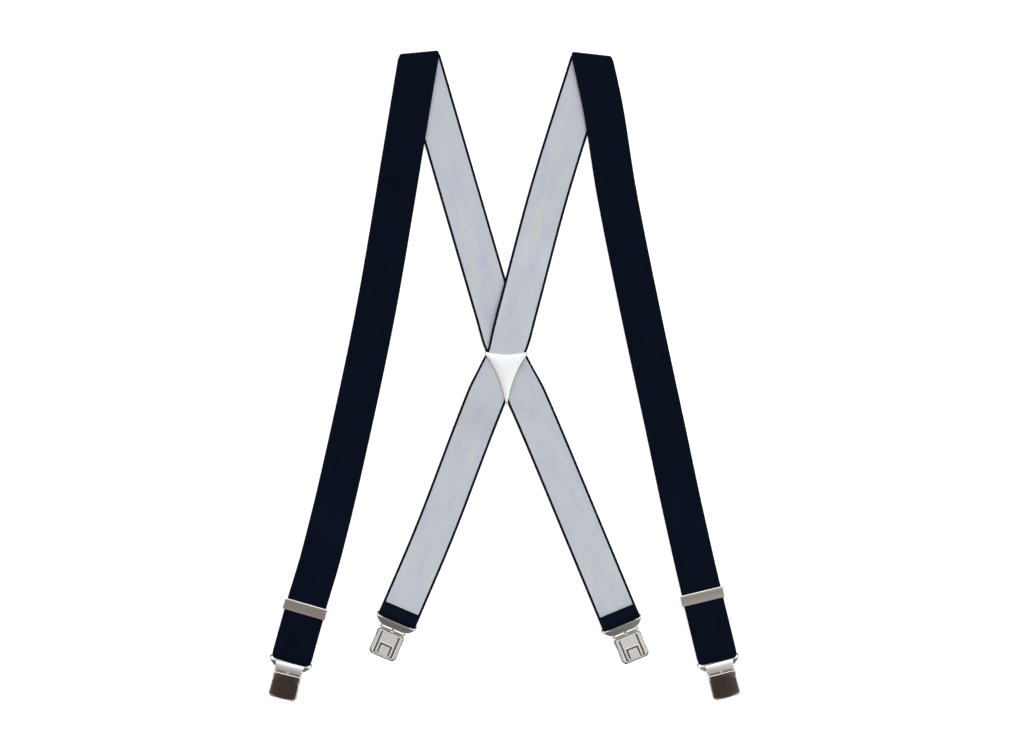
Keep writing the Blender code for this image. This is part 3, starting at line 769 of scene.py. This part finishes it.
def webbing(name, rows, body, nodes):
    """One piece of a strap through these rows, with a navy face and a grey one, and its ends closed."""
    points, places = [], []
    for row in rows:
        unit = row.half / (STRAP_WIDTH / 2)
        points.append([(row.middle + unit * x + row.normal * z) * MM for x, z in PROFILE])
        places += [(x * MM, (row.along + row.slant * x) * MM, 0.0) for x, _ in PROFILE]
    mesh = grid_mesh(points, closed=True)
    places = np.array(places, np.float32).ravel()
    mesh.attributes.new("webbing", "FLOAT_VECTOR", "POINT").data.foreach_set("vector", places)
    obj = new_object(name, shaded(capped(mesh, len(PROFILE)), 60.0), [NAVY, GREY])
    grey = range(NAVY_COUNT + EDGE_COUNT, 2 * NAVY_COUNT + EDGE_COUNT - 1)
    for i in range((len(rows) - 1) * len(PROFILE)):
        mesh.polygons[i].material_index = int(i % len(PROFILE) in grey)
    if isinstance(body, str):
        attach(obj, body)
    else:
        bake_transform(obj)
    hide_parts(*nodes)
    return obj


def half_turn(start_height, end_height, steps=12):
    """A half turn round a bar at along 0, from one height to another, as (along, height)."""
    rise = (end_height - start_height) / 2
    angles = [math.pi * i / steps for i in range(steps + 1)]
    return [(abs(rise) * math.sin(a), start_height + rise * (1 - math.cos(a))) for a in angles]


def eased_path(points, step=1.2):
    """More points between these, eased in height from each to the next."""
    made = [points[0]]
    for (u0, h0), (u1, h1) in zip(points, points[1:]):
        steps = max(1, math.ceil(abs(u1 - u0) / step))
        shares = [k / steps for k in range(1, steps + 1)]
        made += [(u0 + (u1 - u0) * t, h0 + (h1 - h0) * smoothstep(t)) for t in shares]
    return made


def stitches(name, places, body):
    """Short thread capsules at (start, end) places, which rise in their middles."""
    meshes = []
    for start, end in places:
        along = end - start
        side = along.orthogonal().normalized()
        other = along.normalized().cross(side)
        rows = []
        for t, radius in THREAD_RADII:
            centre = start + along * t + UP * STITCH_RISE * math.sin(math.pi * t)
            rows.append([centre + side * x + other * y for x, y in circle((0, 0), radius, 8)])
        meshes.append(grid_mesh(rows, closed=True))
    mesh = capped(joined(meshes), 8)
    mesh.transform(WORLD)
    mesh.shade_smooth()
    obj = new_object(name, mesh, [THREAD])
    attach(obj, body)
    return obj


def stitch_row(origin, along, distance, height):
    """(start, end) places of the stitches of one row across a strap."""
    middle = (origin + along * distance).to_3d() + UP * height
    across = sideways(along).to_3d()
    pitch = STITCH + STITCH_GAP
    count = int(2 * STITCH_HALF_WIDTH // pitch)
    starts = [-count * pitch / 2 + STITCH_GAP / 2 + k * pitch for k in range(count)]
    return [(middle + across * x, middle + across * (x + STITCH)) for x in starts]


def rear_part(side):
    """The rows of the rear hem, its turn round the bar and the back half, and the hem's stitches."""
    back = BACKS[side]
    bar = back.place(back.length)
    along = back.along(back.length - END_REACH)
    top, bottom = REAR_BAR_HEIGHT + TURN_RADIUS, REAR_BAR_HEIGHT - TURN_RADIUS
    sewn = bottom + LAYER + 0.05
    flap = eased_path([(-REAR_HEM_END, sewn), (-7.0, sewn + 0.05), (-2.5, top), (0.0, top)])
    rear = section_rows(flap[:-1] + half_turn(top, bottom), bar, along, REAR_DRAWN_IN)
    lower = route_rows(back, back.length - ROW_STEP, 0.0, back_keys(side, back), FOLDS[side], -1)
    places = []
    for distance in REAR_STITCHES:
        places += stitch_row(bar, along, distance, sewn + ON_TABLE - STITCH_SUNK)
        places += stitch_row(bar, along, distance, bottom - ON_TABLE + STITCH_SUNK)
    return rear + lower, places


def hem_part(side, slider_distance):
    """The rows of the hem round the slider's bar, and its stitches."""
    front = FRONTS[side]
    slider = front.place(slider_distance)
    along = front.along(slider_distance)
    bar_height = RETURN_HEIGHT + HEM_RADIUS
    sewn = RETURN_HEIGHT + LAYER
    path = [(2.0, RETURN_HEIGHT)] + arc((-1.0, bar_height), HEM_RADIUS, 270, 90, 12)
    path += eased_path([(-1.0, bar_height + HEM_RADIUS), (2.5, bar_height + HEM_RADIUS), (7.5, sewn),
                        (HEM_END, sewn)])[1:]
    places = []
    for distance in SLIDER_STITCHES:
        places += stitch_row(slider, along, distance, sewn + ON_TABLE - STITCH_SUNK)
    return section_rows(path, slider, along), places


def make_strap(side, other):
    """One strap, walked from the hem at the rear clip over the shoulder to the hem at the slider."""
    front, fold = FRONTS[side], FOLDS[side]
    slider_distance = front.length - SLIDER_TO_BAR[side]
    back_rows, rear_places = rear_part(side)
    front_rows = route_rows(front, 0.0, front.length - ROW_STEP, front_keys(side, front), fold, 1)
    turn = fold_rows(fold, back_rows[-1].half, front_rows[0].half)
    loop = section_rows(half_turn(FRONT_RUN_HEIGHT, RETURN_HEIGHT), front.place(front.length),
                        front.along(front.length - END_REACH), LOOP_DRAWN_IN, LOOP_ROUNDING)
    returned = route_rows(front, front.length - ROW_STEP, slider_distance + END_REACH,
                          [(0, RETURN_HEIGHT)] * 2, None, 1)
    hem_rows, hem_places = hem_part(side, slider_distance)
    rows = finished_rows(back_rows + turn + front_rows + loop + returned + hem_rows)

    fold_first = len(back_rows) - FOLD_PIECE_ROWS
    fold_last = len(back_rows) + len(turn) + FOLD_PIECE_ROWS - 1
    loop_last = len(back_rows) + len(turn) + len(front_rows) + len(loop) - 1
    tip = fold.middle.to_3d()

    def at(distance):
        return front.place(distance).to_3d() * MM

    webbing(f"{side}_back_webbing", rows[:fold_first + 1], "root",
            [f"{side}_back_strap", f"rear_{other}_turn"])
    webbing(f"{side}_shoulder_webbing", rows[fold_first:fold_last + 1],
            ("root", f"{side}_front", (tip + UP * 1.3) * MM, (tip + UP * 2.0) * MM), [])
    webbing(f"{side}_front_webbing", rows[fold_last:loop_last + 1],
            (f"{side}_front", f"{side}_loop", at(slider_distance - 45.0), at(front.length - 6.0)),
            [f"{side}_front_strap", f"{side}_front_run", f"front_{side}_turn"])
    webbing(f"{side}_return_webbing", rows[loop_last:],
            (f"{side}_loop", f"{side}_slider", at(front.length - 3.0), at(slider_distance + 12.0)),
            [f"{side}_return_run", f"{side}_slider_hem"])
    stitches(f"rear_{other}_stitches", rear_places, "root")
    stitches(f"{side}_slider_stitches", hem_places, f"{side}_slider")


# ---- the crosspiece


def corner_rivets(left, right):
    """The three places beside the crossed straps where the plates are riveted together."""
    clear = RIVET_RADIUS + GAP
    beside = clear / math.sin(math.radians(65))
    below = clear / math.sin(math.radians(21))
    return [
        crossing(left.edge(-1), right.edge(-1)) + Vector((-beside, 0)),
        crossing(left.edge(1), right.edge(1)) + Vector((beside, 0)),
        crossing(left.edge(-1), right.edge(1)) + Vector((0, -below)),
    ]


def triangle_outline(rivets):
    """A triangle with hollow sides and a round tip about each rivet, and its middle."""
    middle = (rivets[0] + rivets[1] + rivets[2]) / 3
    ordered = [rivets[0], rivets[2], rivets[1]]
    tips = []
    for corner in ordered:
        facing = math.degrees((corner - middle).angle_signed(Vector((1, 0))))
        tips.append(arc(corner, PLATE_TIP_RADIUS, facing - 75, facing + 75, 8))
    outline = []
    for tip, after in zip(tips, tips[1:] + tips[:1]):
        outline += tip
        start, end = Vector(tip[-1]), Vector(after[0])
        halfway = (start + end) / 2
        towards = (middle - halfway).normalized() * (end - start).length * PLATE_HOLLOW
        for k in range(1, 24):
            t = k / 24
            outline.append(tuple(start.lerp(end, t) + towards * 4 * t * (1 - t)))
    return outline, middle


def domed_plate(outline, middle, low, high, crown):
    """A plate with this outline whose top swells to a crown in the middle."""
    levels = [(0.985, low), (1.0, low + 0.18), (1.0, high - 0.32), (0.985, high - 0.1), (0.955, high)]
    levels += [(share, high + crown * rise) for share, rise in CROWN]
    rows = [[(middle + (Vector(p) - middle) * share).to_3d() + Vector((0, 0, z)) for p in outline]
            for share, z in levels]
    return shaded(capped(grid_mesh(rows, closed=True), len(outline)), 50.0)


def dome(place, radius, low, rise):
    """A rivet's low round head."""
    levels = ((radius, 0.0), (radius, 0.25), (0.92 * radius, 0.55), (0.7 * radius, 0.85),
              (0.4 * radius, 0.98), (0.05, 1.0))
    rows = [[(x, y, low + rise * z) for x, y in circle(place, r, 24)] for r, z in levels]
    mesh = capped(grid_mesh(rows, closed=True), 24)
    mesh.shade_smooth()
    return mesh


def make_crosspiece():
    rivets = corner_rivets(BACKS["left"], BACKS["right"])
    outline, middle = triangle_outline(rivets)
    low = INNER_PLATE_BOTTOM
    high = low + PLATE_THICKNESS
    plates = {
        "inner": domed_plate(outline, middle, low, high - 0.1, 0.75),
        "outer": plate([outline], 0.0, PLATE_THICKNESS, 0.25, FLAT),
    }
    for name, mesh in plates.items():
        new_metal(f"crosspiece_{name}_cover", mesh, WORLD, "root", f"crosspiece_{name}_plate",
                  CHROME)
    for corner, place in zip(("left", "right", "lower"), rivets):
        shank = plate([circle(place, RIVET_RADIUS)], PLATE_THICKNESS - 0.1, low + 0.2, 0.05, FLAT)
        head = dome(place, 0.85, high - 0.3, 0.55)
        new_metal(f"crosspiece_{corner}_riveted", joined([shank, head]), WORLD, "root",
                  f"crosspiece_{corner}_rivet", NICKEL)


# ---- the sliders


def slider_matrix(side):
    route = FRONTS[side]
    distance = route.length - SLIDER_TO_BAR[side]
    along = route.along(distance)
    turn = Matrix.Rotation(math.atan2(along.x, -along.y), 4, "Z")
    return Matrix.Translation(route.place(distance).to_3d() * MM) @ turn @ WORLD


def slider_band():
    """A stamped band over the strap: a raised upper lip, rolled edges and a cheek down each side."""
    top = FRONT_RUN_HEIGHT + STRAP_THICKNESS / 2 + GAP + SLIDER_SHEET - 0.35
    half = SLIDER_WIDTH / 2 - 0.35
    corner = 0.7
    section = [(-half, 1.2), (-half, 2.6), (-half, 4.0)]
    section += arc((-half + corner, top - corner), corner, 180, 90, 6)
    flat = half - corner
    section += [(-flat + 2 * flat * k / 24, top) for k in range(1, 24)]
    section += [(-x, z) for x, z in reversed(section[:10])]
    rows = []
    for along, lift, draw in SLIDER_ROWS:
        row = []
        for x, z in section:
            share = smoothstep((z - 3.0) / (top - 3.0))
            row.append(Vector((x - math.copysign(draw, x) * (1 - share), -along, z + lift * share)))
        rows.append(row)
    return shell(rows, 0.62, 0.16)


def make_sliders():
    band = slider_band()
    bar_height = RETURN_HEIGHT + HEM_RADIUS
    half = SLIDER_WIDTH / 2 - SLIDER_SHEET - GAP
    bar = plate([rectangle(half, -1.5, 1.5, 0.3)], bar_height - 0.4, bar_height + 0.4, 0.3)
    for side in SIDES:
        matrix = slider_matrix(side)
        slider = f"{side}_slider"
        new_metal(f"{slider}_band", band, matrix, slider, f"{slider}_frame", BRUSHED)
        new_metal(f"{slider}_crossbar", bar, matrix, slider, f"{slider}_bar", NICKEL)


# ---- the clips


def clip_matrix(name):
    side = name.split("_")[1]
    front = name.startswith("front")
    route = FRONTS[side] if front else BACKS["right" if side == "left" else "left"]
    along = route.along(route.length - 4.0)
    place = route.place(route.length).to_3d()
    place.z = FRONT_BAR_HEIGHT if front else REAR_BAR_HEIGHT
    turn = Matrix.Rotation(math.atan2(along.x, -along.y), 4, "Z")
    roll = Matrix.Rotation(0 if front else math.pi, 4, "Y")
    twist = Matrix.Rotation(math.radians(CLIP_TWIST[name]), 4, "Z")
    return Matrix.Translation(place * MM) @ turn @ twist @ roll @ WORLD


def ring_shape():
    """A sheet with the strap's slot, whose two lower tabs curl round the hinge pin."""
    neck, notch = 10.4, 1.0
    half = [(RING_HALF_WIDTH, -0.8), (RING_HALF_WIDTH, 2.0), (17.3, 4.9), (13.2, 8.4), (neck, 8.4),
            (neck, HINGE_ALONG), (notch, HINGE_ALONG), (notch, 8.6)]
    radii = [0.8, 1.3, 1.6, 2.0, 0.5, 0.1, 0.1, 0.4]
    outline = rounded(mirrored(half), radii + radii[::-1])
    slot = rectangle(17.6, 0.8, 3.4, 1.2)
    sheet = plate([outline, slot], -0.6, 0.6, 0.4)
    hinge = (HINGE_ALONG, 0.0)
    curl = [circle(hinge, 1.6, 36), circle(hinge, 0.95, 24)]
    curls = [plate(curl, low, low + neck - notch + 0.2, 0.2, SIDE) for low in (notch - 0.1, -neck - 0.1)]
    mesh = joined([sliced(sheet, [k * 1.5 for k in range(-12, 13)])] + curls)
    for vertex in mesh.vertices:
        vertex.co.z += RING_BOW * (abs(vertex.co.x) / RING_HALF_WIDTH) ** 3
    return mesh


def sliced(mesh, cuts):
    """The mesh cut across at these places, so that it can bow smoothly."""
    edited = bmesh.new()
    edited.from_mesh(mesh)
    for across in cuts:
        everything = edited.verts[:] + edited.edges[:] + edited.faces[:]
        bmesh.ops.bisect_plane(
            edited, geom=everything, plane_co=(across, 0, 0), plane_no=(1, 0, 0), dist=1e-5)
    edited.to_mesh(mesh)
    edited.free()
    return mesh


def bridge_shape():
    """The bowed band over the front of the ring, rolled down at its upper edge."""
    path = [(2.85, 0.6), (3.05, 1.0), (3.45, 1.45), (4.1, 1.85), (5.0, 2.2), (6.2, 2.5), (7.6, 2.7),
            (9.0, 2.78), (10.2, 2.76), (10.8, 2.62), (11.05, 2.35)]
    rows = []
    for along, height in path:
        half = 12.8 - 0.21 * (along - 3.3)
        shares = [k / 14 for k in range(-14, 15)]
        rows.append([Vector((half * s, -along, height - 0.3 * s * s)) for s in shares])
    return shell(rows, 0.6, 0.15)


def serrated(start, end, pitch, depth):
    """(half width change, along) points of a toothed edge."""
    count = max(1, round((end - start) / pitch))
    step = (end - start) / count
    points = []
    for k in range(count):
        points += [(0.0, start + k * step), (-depth, start + (k + 0.5) * step)]
    return points + [(0.0, end)]


def base_shape():
    """The back jaw: a floor with rails round a panel, a lanced tongue and toothed sides, and two flanges."""
    half, chamfer = BASE_HALF_WIDTH, 2.9
    tip_half = half + BASE_FLARE
    low = BASE_BACK
    teeth = [(half + BASE_FLARE * (along - BASE_TOP) / 20 + dx, along)
             for dx, along in serrated(20.0, BASE_TIP - chamfer, 1.3, 0.5)]
    outline = mirrored([(half, BASE_TOP)] + teeth + [(tip_half - chamfer, BASE_TIP)])
    tongue_cut = rounded(mirrored([(5.5, 24.0), (5.5, 33.2), (4.4, 33.2), (4.4, 25.1)]),
                         [1.2, 0.15, 0.15, 0.9, 0.9, 0.15, 0.15, 1.2])
    floor = plate([outline, tongue_cut], low + 0.45, low + 0.7, 0.06)
    opening = rectangle(8.7, 14.2, 33.9, 1.0)
    frame_outline = mirrored([(half - 1.1, 13.2), (tip_half - 1.5, BASE_TIP - chamfer - 0.3),
                              (tip_half - chamfer - 1.0, BASE_TIP - 0.9)])
    rails = plate([rounded(frame_outline, 0.5), opening], low - 0.1, low + 0.5, 0.32)
    panel_outlines = [rectangle(7.3, 13.9, 33.3, 0.9), rectangle(5.9, 23.6, 33.0, 1.2)]
    panel = plate(panel_outlines, low + 0.05, low + 0.5, 0.12)
    tongue_outline = rounded(mirrored([(4.2, 25.3), (4.2, 33.6)]), [0.9, 0.1, 0.1, 0.9])
    tongue = plate([tongue_outline], low, low + 0.5, 0.2)
    lip = plate([rounded(mirrored([(6.5, 22.9), (6.5, 33.4), (5.5, 33.4), (5.5, 23.95)]),
                         [1.5, 0.2, 0.2, 1.0, 1.0, 0.2, 0.2, 1.5])], low - 0.1, low + 0.5, 0.3)
    hinge, lever_pin = (HINGE_ALONG, 0.0), (LEVER_PIN_ALONG, LEVER_PIN_HEIGHT)
    flange = (
        [(13.4, low + 0.45), (19.0, low + 0.45), (18.6, -1.0)]
        + arc(lever_pin, 1.75, -30, 101, 8)
        + arc(hinge, 1.75, 101, 235, 8)
    )
    flange_outlines = [flange, circle(hinge, 0.85, 20), circle(lever_pin, 0.95, 20)]
    flanges = [plate(flange_outlines, side, side + 0.8, 0.15, SIDE) for side in (11.5, -12.3)]
    comb = []
    for k in range(-6, 7):
        across = k * 1.35
        tooth = [(across - 0.45, BASE_TIP - 1.3), (across + 0.45, BASE_TIP - 1.3), (across, BASE_TIP - 0.15)]
        comb.append(plate([tooth], low + 0.6, low + 1.1, 0.1))
    return joined([floor, rails, panel, tongue, lip] + flanges + comb)


def lever_shape():
    """The front jaw: a crowned plate with bent sides, a rolled top, an arched tip and two ears on the pin."""
    columns = [(-1.0, 1.15), (-1.0, 0.6), (-0.998, 0.12), (-0.985, 0.0)]
    columns += [(k / 10, 0.0) for k in range(-9, 10)]
    columns += [(-s, drop) for s, drop in reversed(columns[:4])]
    path = [(0.0, -0.65), (0.003, -0.38), (0.014, -0.12), (0.04, 0.06), (0.07, 0.08), (0.11, 0.03)]
    path += [(t, 0.0) for t in (0.16, 0.25, 0.295, 0.31, 0.325, 0.34, 0.355, 0.45, 0.55, 0.65, 0.75, 0.85,
                                0.93, 0.975)]
    path += [(0.992, -0.08), (0.999, -0.5), (1.0, -1.3)]
    top = 12.95
    rows = []
    for t, lift in path:
        row = []
        for s, drop in columns:
            tip = LEVER_TIP - 0.25 - LEVER_TIP_ARCH * s * s
            along = top + (tip - top) * t
            half = 10.95 + 0.8 * smoothstep((along - 19.4) / 1.2)
            height = 2.35 - 0.42 * s * s - drop + lift
            row.append(Vector((half * s, -along, max(height, 0.7))))
        rows.append(row)
    sheet = shell(rows, 0.5, 0.07)
    pin = (LEVER_PIN_ALONG, LEVER_PIN_HEIGHT)
    ear = [(17.2, 2.2), (14.2, 2.2)] + arc(pin, 1.6, 180, 360, 10)
    ears = [plate([ear, circle(pin, 0.95, 20)], low, low + 0.7, 0.12, SIDE) for low in (10.2, -10.9)]
    cam = rounded([(17.3, 2.4), (17.6, -0.3), (18.9, -0.2), (19.6, 2.4)], 0.4)
    return joined([sheet] + ears + [plate([cam], -9.0, 9.0, 0.15, SIDE)])


def pin_shape(place, radius):
    shank = plate([circle(place, radius, 28)], -12.6, 12.6, 0.15, SIDE)
    heads = [plate([circle(place, radius + 0.3, 28)], low, low + 0.3, 0.1, SIDE) for low in (12.3, -12.6)]
    return joined([shank] + heads)


def pad_shape():
    low = BASE_BACK + 1.0
    body = plate([rectangle(8.0, 16.6, 23.4, 0.5)], low, low + 0.7, 0.12)
    ribs = [plate([rectangle(7.6, along, along + 0.7, 0.2)], low + 0.5, low + 1.0, 0.12)
            for along in (17.2, 18.7, 20.2, 21.7)]
    return joined([body] + ribs)


def make_clips():
    lever_pin = (LEVER_PIN_ALONG, LEVER_PIN_HEIGHT)
    shapes = {
        "ring": (ring_shape(), "ring", "plate", "nickel_plate", RING_METAL),
        "bridge": (bridge_shape(), "ring", "band", "nickel_plate", BAND_METAL),
        "base": (base_shape(), "base", "jaw", "nickel_plate", SATIN),
        "lever": (lever_shape(), "lever", "cover", "nickel_plate", LEVER_METAL),
        "hinge_pin": (pin_shape((HINGE_ALONG, 0.0), 0.7), "base", "turned", "steel_pin", STEEL),
        "lever_pin": (pin_shape(lever_pin, 0.8), "base", "turned", "steel_pin", STEEL),
        "grip_pad": (pad_shape(), "base", "ribbed", "grip_plastic", PLASTIC),
    }
    for clip in CLIPS:
        matrix = clip_matrix(clip)
        for node, (mesh, body, suffix, slot, material) in shapes.items():
            new_metal(f"{clip}_{node}_{suffix}", mesh, matrix, f"{clip}_{body}", f"{clip}_{node}",
                      material)


# ---- the studio


def make_floor():
    bpy.ops.mesh.primitive_plane_add(size=FLOOR_SIZE, location=(0, 0, -FLOOR_DROP))
    floor = bpy.context.object
    floor.name = "floor"
    nodes = Nodes.of_material("pale_floor")
    nodes.set(Base_Color=(0.9, 0.9, 0.9, 1.0), Roughness=0.9, Specular_IOR_Level=0.0,
              Emission_Color=(1.0, 1.0, 1.0, 1.0), Emission_Strength=0.62)
    floor.data.materials.append(nodes.owner)


def make_light():
    """A white tent, bright and cool towards +Y and +X and dim and brown the other way, with a dim top."""
    world = bpy.data.worlds.new("studio")
    bpy.context.scene.world = world
    nodes = Nodes(world)
    nodes.tree.nodes.clear()
    output = nodes.new("ShaderNodeOutputWorld")
    background = nodes.new("ShaderNodeBackground")
    direction = nodes.new("ShaderNodeTexCoord").outputs["Generated"]
    facing = nodes.new("ShaderNodeVectorMath", operation="DOT_PRODUCT")
    facing.inputs[1].default_value = BRIGHT_SIDE
    nodes.link(direction, facing.inputs[0])
    sides = nodes.ramp(nodes.step(facing.outputs["Value"], -1.0, 1.0), SIDE_LIGHT)
    overhead = nodes.ramp(nodes.split(direction)["Z"], [(0.86, (0, 0, 0)), (0.965, (1, 1, 1))])
    nodes.link(nodes.mixed(overhead, sides, OVERHEAD_LIGHT), background.inputs["Color"])
    background.inputs["Strength"].default_value = 1.0
    nodes.link(background.outputs[0], output.inputs[0])


def make_camera():
    """Straight above the layout."""
    data = bpy.data.cameras.new("camera")
    data.sensor_width = 36.0
    data.lens = CAMERA_LENS
    data.clip_start = 0.01
    camera = bpy.data.objects.new("camera", data)
    camera.location = CAMERA_PLACE
    bpy.context.scene.collection.objects.link(camera)
    bpy.context.scene.camera = camera


def main():
    bpy.context.scene.view_settings.view_transform = "Standard"
    make_camera()
    make_light()
    make_floor()
    for side, other in (("left", "right"), ("right", "left")):
        make_strap(side, other)
    make_crosspiece()
    make_sliders()
    make_clips()


main()
